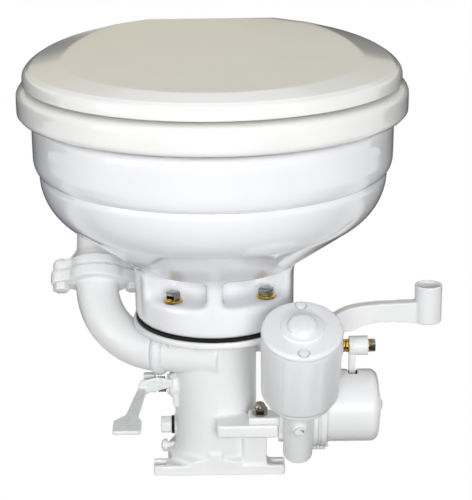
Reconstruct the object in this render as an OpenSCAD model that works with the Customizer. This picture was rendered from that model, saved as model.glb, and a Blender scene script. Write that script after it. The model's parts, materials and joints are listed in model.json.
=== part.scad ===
// Marine toilet with a hand lever, a foot pedal and a worm-drive motor.
// X runs to the right, Y to the back and Z up. The origin lies on the floor,
// under the middle of the pump barrel.

/* [Foot] */
// Width of the front foot bar
foot_w = 128; // [120:1:160]
// Width of the rear foot bar
foot_rear_w = 84; // [76:1:110]
// Depth of each foot bar
foot_bar = 20.5; // [18:0.5:26]
// Thickness of the foot bars
foot_t = 10; // [8:0.5:14]
// Distance from the barrel's middle to the front edge of the foot
foot_front = 42; // [40:1:60]
// Distance from the barrel's middle to the rear edge of the foot
foot_rear = 92; // [80:1:120]
// Distance between the round inner ends of the front bar's two open slots, middle to middle
foot_slot_gap = 111; // [96:1:116]
// Distance between the two holes of the rear bar
foot_bolt_gap = 60; // [50:1:62]
// Diameter of the rear holes and width of the front slots
foot_hole_d = 9; // [6:0.5:11]

/* [Pump] */
// Outside diameter of the pump barrel
barrel_d = 80; // [72:1:100]
// Wall of the pump barrel
barrel_wall = 6; // [4:0.5:8]
// Height of the top face of the pump's flange
pump_h = 151.5; // [148:0.5:185]
// Diameter of the pump's flange
flange_d = 157; // [150:1:190]
// Thickness of the pump's flange
flange_t = 6.5; // [5:0.5:10]
// Stroke of the piston either way from its middle place
piston_stroke = 6.2; // [4:0.1:7]
// Thickness of the gasket between pump and bowl
gasket_t = 2.5; // [2:0.5:4]

/* [Bowl] */
// Outside diameter of the bowl's rim
bowl_d = 336; // [310:1:410]
// Height of the bowl from its foot to its rim
bowl_h = 198; // [180:1:240]
// Diameter of the bowl's foot
bowl_foot_d = 152.5; // [145:0.5:186]
// Wall of the china
china = 10; // [8:0.5:12]
// Width of the flushing rim
rim_w = 40; // [34:1:46]
// Diameter of the outlet in the bowl's bottom
outlet_d = 52; // [44:1:56]
// Radius of the circle that the four bowl bolts stand on
bowl_bolt_r = 62; // [58:0.5:64]
// Diameter of the bowl bolts
bowl_bolt_d = 8; // [6:0.5:10]

/* [Seat and lid] */
// How far the seat stands out past the bowl's rim
seat_over = 13; // [8:1:24]
// Thickness of the seat
seat_t = 24; // [18:1:30]
// Width of the seat ring at its sides
seat_ring_w = 62; // [50:1:70]
// How far the lid's edge stands back from the seat's
lid_inset = 6; // [3:0.5:10]
// Thickness of the lid
lid_t = 20; // [16:1:26]
// Height of the bumpers under the seat
seat_bump = 6.5; // [5:0.5:10]
// Height of the bumpers under the lid
lid_bump = 2; // [1.5:0.5:4]
// Distance between the two hinge posts
hinge_gap = 140; // [120:1:150]
// Diameter of the hinge rod
hinge_rod_d = 8; // [6:0.5:10]

/* [Discharge] */
// Outside diameter of the discharge elbow
elbow_d = 42.2; // [38:0.2:50]
// Wall of the elbow and of the neck on it
elbow_wall = 4; // [3:0.5:5]
// Radius of the elbow's bend, along its middle
elbow_bend_r = 75.5; // [70:0.5:90]
// Distance between the two bolts of the discharge flange
flange_bolt_gap = 72; // [68:1:90]
// Thickness of each oval flange
oval_t = 11; // [7:0.5:12]
// Outside diameter of the hose tail on the neck
hose_tail_d = 38; // [32:1:42]

/* [Lever] */
// Distance from the barrel's middle to the middle of the lever's socket
socket_x = 204; // [190:1:240]
// Outside diameter of the lever's socket
socket_d = 26; // [24:0.5:32]
// Bore of the lever's socket
socket_bore = 20.8; // [16:0.2:22]
// Height of the lever's socket
socket_h = 37.5; // [30:0.5:52]
// Diameter of the lever's shaft
lever_shaft_d = 14; // [12:0.5:16]

/* [Gearbox and motor] */
// Diameter of the motor
motor_d = 74; // [64:1:80]
// Length of the motor's can with its end cap
motor_l = 82; // [64:1:92]
// How far the motor leans forward, in degrees
worm_tilt = 23.4; // [20:0.2:26]
// Outside diameter of the worm's tube
worm_tube_d = 28; // [27.5:0.5:34]
// Outside diameter of the gear case
gear_case_d = 69.5; // [68:0.5:76]
// Teeth of the worm wheel
wheel_teeth = 24; // [20:1:24]
// Size of a tooth (module)
tooth_m = 2.5; // [2:0.1:2.5]
// Throw of the crank
crank_throw = 8.6; // [7:0.2:10]
// Diameter of the crank pin
crank_pin_d = 10; // [8:0.5:12]
// Diameter of the bolt between lever and connecting rod
link_bolt_d = 8; // [6:0.5:10]

/* [Pedal] */
// Width and depth of the pedal's tread
tread_w = 26; // [24:1:40]
// Diameter of the pedal's shaft
pedal_shaft_d = 10; // [8:0.5:12]
// Reach of the pedal from its shaft to the middle of its tread
pedal_reach = 103; // [80:1:120]

/* [Hidden] */
$fn = 64;
run_fit = 0.05;       // radial clearance of a shaft that turns or slides
part_gap = 0.3;       // gap between pieces that pass each other
bolt_fit = 0.4;       // radial clearance of a bolt in its hole
eps = 0.01;

barrel_r = barrel_d/2;
bore_r = barrel_r - barrel_wall;
foot_shift = 3;
foot_y1 = -foot_front;
foot_y2 = foot_rear;
foot_bolt_y = [foot_y1 + foot_bar/2, foot_y2 - foot_bar/2];

// bowl, measured from its foot
bowl_z = pump_h + gasket_t;
rim_z = bowl_z + bowl_h;
bowl_r = bowl_d/2;
bowl_foot_r = bowl_foot_d/2;
band_h = 36;                          // height of the upper band
step_in = 5;                          // set-in of the bowl below the band
belly_r = 54;                         // radius of the belly's curve
belly_slope = 36;                     // slope of the underside, in degrees
belly_c = [bowl_r - step_in - belly_r - 0.5, rim_z - 53];
foot_fillet = 22;
ledge_z = bowl_z + 30;                // where the bowl bolts stand
core_r = outlet_d/2 + 15;
bolt_turn = 6.4;
bowl_bolt_a = [for (k = [0:3]) -45 + bolt_turn + 90*k];
bowl_nut_h = 7;

// shelf at the back of the bowl, and the hinge on it
shelf_y = bowl_r + 40;
shelf_w = hinge_gap + 44;
shelf_t = 20;
hinge_y = shelf_y + 4;
hinge_z = rim_z + 28;
post_w = 16;
knuckle_r = 8;
leaf_t = 3;
hinge_bolt_y = shelf_y - 25;

// seat and lid
seat_z = rim_z + seat_bump;
seat_a = bowl_r + seat_over;
seat_front = bowl_r + seat_over - 7;
seat_back = hinge_y - 16;
lid_z = seat_z + seat_t + lid_bump;
lid_a = seat_a - lid_inset;
lid_front = seat_front - lid_inset + 2;
lid_back = hinge_y - 12;

// discharge
port_a = 18;                          // the port points this far to the back
port_p = [-max(barrel_r + 17.5, 1.3*bowl_r - 160.9), -4, pump_h - 34.1];
port_len = -port_p[0]/cos(port_a);    // from the port's end to the barrel's middle
elbow_r = elbow_d/2;
elbow_rise = 39;                      // lean of the discharge flange
port_dir = [-cos(port_a), sin(port_a), 0];
out_dir = [0, sin(elbow_rise), cos(elbow_rise)];
bend_n = cross(port_dir, out_dir)/norm(cross(port_dir, out_dir));
bend_c = port_p + cross(bend_n, port_dir)*elbow_bend_r;
bend_a = acos(port_dir*out_dir);
elbow_end = bend_c - cross(bend_n, out_dir)*elbow_bend_r;
elbow_top = elbow_end + out_dir*oval_t;
gland_l = 12;                         // length and radius of the gland ring
gland_r = elbow_r + 3.5;

// gearbox: the worm's axis leans forward by worm_tilt
worm_pr = 8.5;
wheel_pr = wheel_teeth*tooth_m/2;
gear_x = barrel_r + 38;
worm_p = [gear_x, -59, 40];
mesh_t = 13.4;                        // place of the mesh along the worm
gear_cd = 38.5;
gear_y = worm_p[1] + gear_cd*cos(worm_tilt) - mesh_t*sin(worm_tilt);
gear_z = worm_p[2] + gear_cd*sin(worm_tilt) + mesh_t*cos(worm_tilt);
gear_case_r = gear_case_d/2;
gear_room_r = gear_case_r - 2.1;
worm_tube_r = worm_tube_d/2;
worm_room_r = worm_tube_r - 2.5;
motor_t = 73;                         // where the motor sits along the worm
tube_t = -12;                         // where the worm's tube ends
motor_r = motor_d/2;
case_x = [gear_x - 18, gear_x + 20.4, gear_x + 78];   // left end, split and right end of the case
joint_r = gear_case_r + 4.8;          // rim of the split flange
case_screw_a = [for (d = [-140, -60, 60, 140]) worm_tilt + 180 + d];
wheel_x = worm_p[0];
wheel_w = 7;
crank_x = [gear_x + 32, gear_x + 39, gear_x + 50.3];  // crank disc from, to, and end of its pin
shaft_d = 14;
plug_t = 36;                          // where the grease plug sits along the worm
case_bolt = [gear_x - 36, -50];       // bolt between the gearbox and the pump's arm

// lever, link and connecting rod
lever_y = 20;
lever_z = gear_z + 50.4;
link_y = gear_y + 14;
link_z = gear_z + 55.9;
rod_x = [gear_x + 51, gear_x + 57];
lug_x = [gear_x + 51, gear_x + 69];
lug_r = 9.4;
web_x = [gear_x + 39.6, gear_x + 45];
hub_x = [gear_x + 19, gear_x + 39.6];
hub_r = 13;
arm_y = -15;
arm_t = 12;
arm_z = lever_z + 38;
socket_z = lever_z + 30;
rod_pin = [gear_y + crank_throw, gear_z];
big_end_r = 11;

// piston and rocker
rocker_y = -6;
rocker_pin_r = 4;
piston_z = 61;
piston_t = 18;
piston_r = bore_r - run_fit;
rod_r = 6;

inlet_z = 34;                         // height of the water inlet
drain_z = 36;
vent_z = 13.5;

// flap valve under the bowl
flap_y = 31.5;
flap_z = pump_h - 11;
flap_r = outlet_d/2 + 1;

// pedal
pedal_y = -8;
pedal_z = 82.5;
pedal_x = [-barrel_r - 30, -barrel_r - 18];
spring_x = [-barrel_r - 17, -barrel_r - 7.5];
spring_wire = 1.8;
spring_r = 7.6;
spring_turns = 4;
tread_x = -barrel_r - 41.5;
tread_y = pedal_y - pedal_reach;
tread_t = 4;

// ---------- helpers ----------

function arc(c, r, a0, a1, n = 12) =
  [for (i = [0:n]) let (a = a0 + (a1 - a0)*i/n) [c[0] + r*cos(a), c[1] + r*sin(a)]];

// a cylinder along X, from x0 to x1
module xcyl(x0, x1, r, y = 0, z = 0) {
  translate([x0, y, z]) rotate([0, 90, 0]) cylinder(h = x1 - x0, r = r);
}

// a hexagonal bar along X
module xhex(x0, x1, flats, y = 0, z = 0) {
  translate([x0, y, z]) rotate([0, 90, 0]) cylinder(h = x1 - x0, d = flats/cos(30), $fn = 6);
}

// a box given by its lowest and highest corners
module box(lo, hi) {
  translate(lo) cube(hi - lo);
}

// the frame of the worm: Z runs up its axis, Y points to the worm wheel
module in_worm() {
  translate(worm_p) rotate([worm_tilt, 0, 0]) children();
}

// the frame of the discharge flange: Z runs out of it
module in_outlet() {
  translate(elbow_top) rotate([-elbow_rise, 0, 0]) children();
}

// the frame of the pump's port: Z points out of the barrel
module in_port() {
  translate(port_p) rotate([0, 0, -port_a]) rotate([0, -90, 0]) children();
}

// a plate with round ends, along X
module oval(gap, end_r, mid_r, h) {
  cylinder(h = h, r = mid_r);
  for (s = [-1, 1]) translate([s*gap/2, 0, 0]) cylinder(h = h, r = end_r);
  linear_extrude(h) polygon([[-gap/2, end_r], [0, mid_r], [gap/2, end_r],
                             [gap/2, -end_r], [0, -mid_r], [-gap/2, -end_r]]);
}

module at_bowl_bolts() {
  for (a = bowl_bolt_a)
    translate([bowl_bolt_r*cos(a), bowl_bolt_r*sin(a), 0]) rotate(a) children();
}

// ---------- pump ----------

// a flat bar with round corners, lying on the floor
module bar(lo, hi, r, t) {
  box([lo[0] + r, lo[1], 0], [hi[0] - r, hi[1], t]);
  box([lo[0], lo[1] + r, 0], [hi[0], hi[1] - r, t]);
  for (x = [lo[0] + r, hi[0] - r], y = [lo[1] + r, hi[1] - r]) translate([x, y, 0]) cylinder(h = t, r = r);
}

module foot() {
  bar([foot_shift - foot_w/2, foot_y1], [foot_shift + foot_w/2, foot_y1 + foot_bar], 2.5, foot_t);
  bar([foot_shift - foot_rear_w/2, foot_y2 - foot_bar], [foot_shift + foot_rear_w/2, foot_y2], 6, foot_t);
  box([-barrel_r + 6, foot_y1 + 2, 0], [barrel_r + 4, foot_y2 - 2, foot_t - 1]);
  // cove between the foot and the barrel, cut off flush with the front
  difference() {
    rotate_extrude() polygon(concat([[0, 0], [barrel_r + 8, 0], [barrel_r + 8, foot_t - 1]],
      arc([barrel_r + 9, foot_t + 17], 9 + 4, -95, -165, 8), [[barrel_r - 1, foot_t + 26], [0, foot_t + 26]]));
    box([-barrel_r - 20, foot_y1 - 40, -1], [barrel_r + 20, foot_y1, foot_t + 40]);
  }
}

module pump_base() {
  color("white") difference() {
    union() {
      foot();
      difference() {
        union() {
          cylinder(h = pump_h - flange_t, r = barrel_r);
          // boss of the lever's shaft beside the port
          xcyl(-barrel_r - 3, 0, hub_r, lever_y, lever_z);
        }
        // room for the gland ring
        in_port() translate([0, 0, -gland_l - part_gap]) cylinder(h = gland_l + 5, r = gland_r + part_gap);
      }
      translate([0, 0, pump_h - flange_t]) cylinder(h = flange_t, d = flange_d);
      // neck under the flange
      translate([0, 0, pump_h - flange_t - 8]) cylinder(h = 8, r1 = barrel_r, r2 = barrel_r + 5);
      // discharge port, which runs across the front of the barrel
      in_port() translate([0, 0, -port_len - 7]) cylinder(h = port_len + 7, r = elbow_r - 1);
      // boss of the lever's shaft
      xcyl(0, barrel_r + 8, hub_r, lever_y, lever_z);
      // boss of the pedal's shaft, with its rough cast side
      xcyl(-barrel_r - 5, -10, 12, pedal_y, pedal_z);
      box([-barrel_r - 1.5, -18, 62], [-20, 16, 92]);
      // boss of the drain plug
      xcyl(-barrel_r - 1, -10, 11, 0, drain_z);
      // seat of the gearbox: an arm across the front and a gusset below it
      box([1, -62, 48], [gear_x - 38, -30, 61]);
      box([gear_x - 39, -62, 48], [gear_x - 19, -43, 61]);
      box([26, -40, 5], [barrel_r + 9, -6, 48]);
      // pad at the bottom of the front
      box([-7.5, foot_y1 - 0.01, foot_t - 1], [6, -30, foot_t + 12]);
      // boss of the water inlet at the back
      translate([0, barrel_r - 6, inlet_z]) rotate([-90, 0, 0]) cylinder(h = 14, r = 14);
    }
    // cylinder for the piston, and the room above it
    translate([0, 0, 12]) cylinder(h = 92, r = bore_r);
    translate([0, 0, 103]) cylinder(h = flap_z + 5 - 103, r = bore_r + 1);
    translate([0, 0, pump_h - 7]) cylinder(h = 8, d = outlet_d);
    // port
    in_port() translate([0, 0, 18.5 - port_len]) cylinder(h = port_len, r = elbow_r - 1 - elbow_wall);
    // shafts
    xcyl(0, barrel_r + 9, lever_shaft_d/2 + run_fit, lever_y, lever_z);
    xcyl(-barrel_r + 1, 0, lever_shaft_d/2 + run_fit, lever_y, lever_z);
    xcyl(-barrel_r - 6, 0, pedal_shaft_d/2 + run_fit, pedal_y, pedal_z);
    // plugs, water inlet and the passage of the vent
    xcyl(-barrel_r - 2, -barrel_r + 8, 5, 0, drain_z);
    xcyl(-barrel_r - 20, -barrel_r + 8, 4, 0, vent_z);
    translate([0, 0, inlet_z]) rotate([-90, 0, 0]) cylinder(h = barrel_r + 12, r = 8);
    // bolt holes
    for (s = [-1, 1]) {
      translate([foot_shift + s*foot_bolt_gap/2, foot_bolt_y[1], -1]) cylinder(h = foot_t + 2, d = foot_hole_d);
      // slots, open at the bar's ends
      translate([foot_shift + s*foot_slot_gap/2, foot_bolt_y[0], -1]) {
        cylinder(h = foot_t + 2, d = foot_hole_d);
        translate([s*foot_w/4, 0, foot_t/2 + 1]) cube([foot_w/2, foot_hole_d, foot_t + 2], center = true);
      }
    }
    at_bowl_bolts() translate([0, 0, pump_h - flange_t - 1])
      cylinder(h = flange_t + 2, d = bowl_bolt_d + 2*bolt_fit);
    translate(case_bolt) translate([0, 0, 40]) cylinder(h = 30, r = 4);
  }
}

module drain_plug() {
  color("whitesmoke") translate([0, 0, drain_z]) {
    xcyl(-barrel_r - 4, -barrel_r + 7.5, 4.9);
    xhex(-barrel_r - 14, -barrel_r - 3.5, 15.6);
  }
}

module drain_washer() {
  color("black") difference() {
    xcyl(-barrel_r - 3.5, -barrel_r - 1, 9, 0, drain_z);
    xcyl(-barrel_r - 5, -barrel_r, 4.9, 0, drain_z);
  }
}

module vent_plug() {
  color("whitesmoke") translate([0, 0, vent_z]) {
    xcyl(-barrel_r - 8.5, -barrel_r + 5, 3.9);
    translate([-barrel_r - 8.5, 0, 0]) rotate([0, -90, 0]) {
      cylinder(h = 3, r = 6.4);
      translate([0, 0, 3]) scale([1, 1, 0.5]) sphere(r = 6);
    }
  }
}

module water_inlet() {
  color("whitesmoke") difference() {
    union() {
      cylinder(h = 12, r = 7.9);
      translate([0, 0, 12]) cylinder(h = 4, r = 11);
      translate([0, 0, 12]) cylinder(h = 34, r = 8.5);
      for (k = [0:2]) translate([0, 0, 16 + 7*k]) cylinder(h = 6, r1 = 9.6, r2 = 8.4);
    }
    translate([0, 0, -1]) cylinder(h = 48, r = 6);
  }
}

// rubber flap that covers the water inlet from inside
module foot_valve() {
  color("dimgray") intersection() {
    difference() {
      cylinder(h = 26, r = bore_r - run_fit);
      translate([0, 0, -1]) cylinder(h = 28, r = bore_r - 3);
    }
    box([-12, 0, 0], [12, barrel_r, 26]);
  }
}

// ---------- bowl ----------

module base_gasket() {
  color("black") translate([0, 0, pump_h]) difference() {
    cylinder(h = gasket_t, r = bowl_foot_r - 0.5);
    translate([0, 0, -1]) cylinder(h = gasket_t + 2, d = outlet_d);
    at_bowl_bolts() translate([0, 0, -1]) cylinder(h = gasket_t + 2, d = bowl_bolt_d + 2*bolt_fit);
  }
}

// outside of the bowl, from the foot up to the rim
function bowl_outside() =
  let (e = belly_c + belly_r*[cos(90 - belly_slope), -sin(90 - belly_slope)],
       t = foot_fillet*tan((90 - belly_slope)/2),
       zk = e[1] - (e[0] - bowl_foot_r)*tan(belly_slope),
       fc = [bowl_foot_r + foot_fillet, zk - t],
       band = rim_z - band_h)
  concat([[bowl_foot_r - 2, bowl_z], [bowl_foot_r, bowl_z + 2]],
    arc(fc, foot_fillet, 180, 90 + belly_slope, 8),
    arc(belly_c, belly_r, -90 + belly_slope, 0, 14),
    [[bowl_r - step_in, band - 7], [bowl_r - 1.5, band], [bowl_r, band + 6]],
    arc([bowl_r - 7, rim_z - 7], 7, 0, 90, 6));

// inside of the bowl, from the rim down to the outlet
function bowl_inside() =
  let (lip = bowl_r - rim_w, w = belly_r - china, a = 61,
       e = belly_c + w*[cos(-a), sin(-a)], out = outlet_d/2,
       ze = e[1] - (e[0] - out - 6)*tan(90 - a))
  concat(arc([lip + 5, rim_z - 5], 5, 90, 180, 5), [[lip, rim_z - 26], [lip + 8, rim_z - 26],
     [lip + 8, rim_z - 10], [bowl_r - china, rim_z - 10], [bowl_r - china, rim_z - band_h]],
    arc(belly_c, w, 0, -a, 12), [[out + 6, ze], [out, ze - 8], [out, bowl_z]]);

// hollow round a bowl bolt, as a turned sector
module pocket(a0, a1) {
  rotate([0, 0, -90 + a0]) rotate_extrude(angle = a1 - a0)
    polygon(concat(arc([core_r + 6, ledge_z + 6], 6, 180, 270, 5),
      [[bowl_foot_r + 30, ledge_z], [bowl_foot_r + 30, ledge_z + 30],
       [bowl_foot_r, ledge_z + 27], [core_r + 6, ledge_z + 20], [core_r, ledge_z + 14]]));
}

module bowl() {
  color("white") difference() {
    union() {
      rotate_extrude() polygon(concat(bowl_outside(), bowl_inside()));
      // shelf for the hinge
      difference() {
        union() {
          box([-shelf_w/2, bowl_r - 50, rim_z - shelf_t], [shelf_w/2, shelf_y - 12, rim_z - eps]);
          box([-shelf_w/2 + 12, bowl_r - 50, rim_z - shelf_t], [shelf_w/2 - 12, shelf_y, rim_z - eps]);
          for (s = [-1, 1]) translate([s*(shelf_w/2 - 12), shelf_y - 12, rim_z - shelf_t])
            cylinder(h = shelf_t - eps, r = 12);
          // boss of the flushing water's inlet
          translate([0, bowl_r - 10, rim_z - 28]) rotate([-90, 0, 0]) cylinder(h = shelf_y - bowl_r + 11, r = 15);
        }
        translate([0, 0, rim_z - 60]) cylinder(h = 70, r = bowl_r - china + 1);
      }
    }
    pocket(6, 66);
    pocket(114, 174);
    pocket(186, 244);
    pocket(302, 354);
    at_bowl_bolts() translate([0, 0, bowl_z - 1]) cylinder(h = 40, d = bowl_bolt_d + 2*bolt_fit + 0.8);
    for (s = [-1, 1]) translate([s*hinge_gap/2, hinge_bolt_y, rim_z - 40]) cylinder(h = 60, r = 4.5);
    translate([0, bowl_r - china - 4, rim_z - 28]) rotate([-90, 0, 0]) cylinder(h = 60, r = 8);
  }
}

module bowl_bolts() {
  color("gray") at_bowl_bolts() {
    translate([0, 0, pump_h - flange_t - bowl_nut_h - 4])
      cylinder(h = ledge_z + 2 - (pump_h - flange_t - bowl_nut_h - 4), d = bowl_bolt_d);
    translate([0, 0, ledge_z + 1.6]) rotate(15) cylinder(h = 6.4, d = 13/cos(30), $fn = 6);
  }
}

module bowl_washers() {
  color("goldenrod") at_bowl_bolts() translate([0, 0, ledge_z]) difference() {
    cylinder(h = 1.6, r = 9);
    translate([0, 0, -1]) cylinder(h = 4, d = bowl_bolt_d);
  }
}

module bowl_nuts() {
  color("goldenrod") at_bowl_bolts() translate([0, 0, pump_h - flange_t - bowl_nut_h]) difference() {
    cylinder(h = bowl_nut_h, d = 13/cos(30), $fn = 6);
    translate([0, 0, -1]) cylinder(h = bowl_nut_h + 2, d = bowl_bolt_d);
  }
}

module flush_inlet() {
  color("whitesmoke") translate([0, shelf_y + 1, rim_z - 28]) rotate([-90, 0, 0]) difference() {
    union() {
      translate([0, 0, -26]) cylinder(h = 27, r = 7.9);
      cylinder(h = 4, r = 12);
      cylinder(h = 28, r = 8.2);
      for (k = [0:1]) translate([0, 0, 5 + 7*k]) cylinder(h = 6, r1 = 9.4, r2 = 8.1);
    }
    translate([0, 0, -27]) cylinder(h = 60, r = 6);
  }
}

// ---------- discharge ----------

// a piece of bent pipe along the elbow, between two angles of its bend
module bend(r, r_in) {
  // columns: out of the bend's middle, along the flow, and the bend's own axis
  u = -cross(bend_n, port_dir);
  v = port_dir;
  w = cross(u, v);
  multmatrix([[u[0], v[0], w[0], bend_c[0]],
              [u[1], v[1], w[1], bend_c[1]],
              [u[2], v[2], w[2], bend_c[2]]])
    rotate_extrude(angle = bend_a) translate([elbow_bend_r, 0]) difference() {
      circle(r = r);
      circle(r = r_in);
    }
}

module discharge_elbow() {
  r_in = elbow_r - elbow_wall - 2;
  color("white") difference() {
    union() {
      bend(elbow_r, r_in);
      in_port() translate([0, 0, -14]) difference() {
        cylinder(h = 15, r = elbow_r - 1 - elbow_wall - run_fit);
        translate([0, 0, -1]) cylinder(h = 17, r = r_in - 1);
      }
      in_outlet() translate([0, 0, -oval_t - 1]) difference() {
        oval(flange_bolt_gap, 10.5, elbow_r + 9.5, oval_t + 1);
        translate([0, 0, -1]) cylinder(h = oval_t + 3, r = r_in + 1);
      }
    }
    for (s = [-1, 1]) in_outlet() translate([s*flange_bolt_gap/2, 0, -oval_t - 2]) cylinder(h = oval_t + 3, r = 4.2);
  }
}

// clamp ring over the joint between port and elbow
module elbow_gland() {
  color("whitesmoke") in_port() translate([0, 0, -gland_l]) difference() {
    rotate_extrude() polygon(concat([[0, 0], [gland_r - 3, 0]],
      arc([gland_r - 7, gland_l/2], 7, -54, 54, 6), [[gland_r - 3, gland_l], [0, gland_l]]));
    translate([0, 0, -1]) cylinder(h = gland_l + 2, r = elbow_r - 1 + run_fit);
  }
}

module flange_gasket() {
  color("black") in_outlet() difference() {
    oval(flange_bolt_gap, 9, elbow_r + 8, 2);
    translate([0, 0, -1]) cylinder(h = 4, r = elbow_r - elbow_wall - 2);
    for (s = [-1, 1]) translate([s*flange_bolt_gap/2, 0, -1]) cylinder(h = 4, r = 4.2);
  }
}

module discharge_neck() {
  color("white") in_outlet() translate([0, 0, 2]) difference() {
    union() {
      oval(flange_bolt_gap, 8.5, elbow_r + 8, oval_t - 2);
      translate([0, 0, oval_t - 2]) cylinder(h = 10, r1 = elbow_r + 6, r2 = elbow_r);
      // ribs from the ears up to the pipe
      for (s = [0, 180]) rotate([90, 0, s]) translate([0, 0, -3.5]) linear_extrude(7)
        polygon([[elbow_r - 2, oval_t - 3], [flange_bolt_gap/2 - 6.5, oval_t - 3],
                 [flange_bolt_gap/2 - 6.5, oval_t - 1], [elbow_r - 2, oval_t + 14]]);
      cylinder(h = 62, r = elbow_r);
      translate([0, 0, 62]) cylinder(h = 4, r1 = elbow_r, r2 = hose_tail_d/2 - 0.6);
      cylinder(h = 94, r = hose_tail_d/2 - 0.6);
      translate([0, 0, 94]) cylinder(h = 14, d = hose_tail_d);
      for (k = [0:2]) translate([0, 0, 66 + 9*k])
        cylinder(h = 8, r1 = hose_tail_d/2 + 1.6, r2 = hose_tail_d/2 - 0.3);
    }
    translate([0, 0, -1]) cylinder(h = 110, d = hose_tail_d - 8);
    translate([0, 0, -1]) cylinder(h = 9, r = elbow_r - 2);
    for (s = [-1, 1]) translate([s*flange_bolt_gap/2, 0, -1]) cylinder(h = oval_t + 2, r = 4.2);
  }
}

module flange_bolts() {
  color("whitesmoke") in_outlet() for (s = [-1, 1]) translate([s*flange_bolt_gap/2, 0, 0]) {
    translate([0, 0, -oval_t - 2]) cylinder(h = 2*oval_t + 3, r = 4);
    translate([0, 0, -oval_t - 8]) cylinder(h = 7, d = 14/cos(30), $fn = 6);
    // domed head
    translate([0, 0, oval_t]) rotate_extrude()
      polygon(concat([[0, 0], [6.2, 0], [6.2, 2]], arc([0, -3.6], 7.8, 44, 90, 5)));
  }
}

// rubber duck-bill valve, held by its rim between the two flanges
module joker_valve() {
  color("dimgray") in_outlet() {
    translate([0, 0, 2]) difference() {
      cylinder(h = 7.9, r = elbow_r - 2.3);
      translate([0, 0, -1]) cylinder(h = 10, r = 11);
    }
    translate([0, 0, 9.8]) difference() {
      cylinder(h = 24, r1 = 13.6, r2 = 8);
      translate([0, 0, -0.1]) cylinder(h = 20, r1 = 11.5, r2 = 5);
      box([-6, -0.6, 10], [6, 0.6, 30]);
    }
  }
}

// ---------- valve and pedal ----------

module flap_valve() {
  color("dimgray") {
    translate([0, 0, flap_z + 1.4]) cylinder(h = 2.6, r = flap_r);
    translate([0, 0, flap_z - 1.6]) cylinder(h = 3.2, r = flap_r - 6);
    difference() {
      union() {
        box([-6, 12, flap_z - 2.5], [6, flap_y, flap_z + 2]);
        xcyl(-6, 6, 3.6, flap_y - 2, flap_z - 1);
      }
      xcyl(-7, 7, 1.5 + run_fit, flap_y - 2, flap_z - 1);
    }
  }
}

module flap_pin() {
  color("silver") {
    xcyl(-14, 14, 1.5, flap_y - 2, flap_z - 1);
    for (s = [-1, 1]) difference() {
      translate([s*10.5 - 2, flap_y - 4.5, flap_z - 5]) cube([4, 5, 10]);
      xcyl(-15, 15, 1.5, flap_y - 2, flap_z - 1);
    }
  }
}

module pedal_shaft() {
  color("silver") {
    xcyl(pedal_x[0] + 1, -14, pedal_shaft_d/2, pedal_y, pedal_z);
    // finger that lifts the flap's latch
    translate([-18, pedal_y - 4, pedal_z]) cube([4, 8, 24]);
  }
}

module foot_pedal() {
  color("gainsboro") difference() {
    union() {
      xcyl(pedal_x[0], pedal_x[1], 8, pedal_y, pedal_z);
      // stop lug, short of the elbow above
      box([pedal_x[0], pedal_y - 4, pedal_z],
          [pedal_x[1], pedal_y + 4, min(pedal_z + 11.5, port_p[2] - elbow_r - 2.3)]);
      // arm
      translate([0, 0, pedal_z - 3]) linear_extrude(5.5)
        polygon([[tread_x - 2.9, tread_y + 20.6], [tread_x + 8, tread_y + 20.3], [pedal_x[0] + 3, pedal_y - 16],
                 [pedal_x[1], pedal_y - 12], [pedal_x[1], pedal_y], [pedal_x[0], pedal_y], [pedal_x[0] - 4.5, pedal_y - 12]]);
      // tread, which narrows towards the arm
      translate([0, 0, pedal_z - 1.5]) linear_extrude(tread_t) polygon([
        [tread_x - 3.5, tread_y + 24], [tread_x - tread_w/2, tread_y + 11.5], [tread_x - tread_w/2, tread_y - 10],
        [tread_x - tread_w/2 + 2, tread_y - 12], [tread_x + tread_w/2 - 2, tread_y - 12],
        [tread_x + tread_w/2, tread_y - 10], [tread_x + tread_w/2, tread_y + 11.5], [tread_x + 8, tread_y + 24]]);
      // guard in front of the spring
      translate([0, pedal_y - 12.8, 0]) rotate([90, 0, 0]) linear_extrude(3.7)
        polygon([for (p = [[-5, 3.5], [-2, 9.5], [13, 13.5], [23, 11.5], [29, 10.5], [29, 3.5], [2, -3.8]])
          [pedal_x[0] + p[0], pedal_z + p[1]]]);
    }
    xcyl(pedal_x[0] - 1, pedal_x[1] + 1, pedal_shaft_d/2 + run_fit, pedal_y, pedal_z);
  }
}

// coil round the pedal's shaft, as one unbroken tube
module pedal_spring() {
  sides = 6;
  rings = spring_turns*8;
  pitch = (spring_x[1] - spring_x[0] - spring_wire)/spring_turns;
  echo(spring_gap = pitch - spring_wire);
  pts = [for (i = [0:rings], k = [0:sides - 1])
    let (a = 360*i/8, b = 360*k/sides, r = spring_r + spring_wire/2*cos(b))
    [spring_x[0] + spring_wire/2 + pitch*i/8 + spring_wire/2*sin(b),
     pedal_y + r*cos(a), pedal_z + r*sin(a)]];
  faces = concat([[for (k = [0:sides - 1]) k]],
    [for (i = [0:rings - 1], k = [0:sides - 1]) let (n = (k + 1)%sides)
      [i*sides + k, (i + 1)*sides + k, (i + 1)*sides + n]],
    [for (i = [0:rings - 1], k = [0:sides - 1]) let (n = (k + 1)%sides)
      [i*sides + k, (i + 1)*sides + n, i*sides + n]],
    [[for (k = [sides - 1:-1:0]) rings*sides + k]]);
  color("dimgray") polyhedron(pts, faces);
}

module pedal_packing_nut() {
  color("goldenrod") difference() {
    xhex(-barrel_r - 7, -barrel_r - 5, 19, pedal_y, pedal_z);
    xcyl(-barrel_r - 8, -barrel_r - 4, pedal_shaft_d/2 + run_fit, pedal_y, pedal_z);
  }
}

// ---------- lever ----------

module lever_shaft() {
  color("silver") xcyl(-26, hub_x[1] - 1, lever_shaft_d/2, lever_y, lever_z);
}

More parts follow.
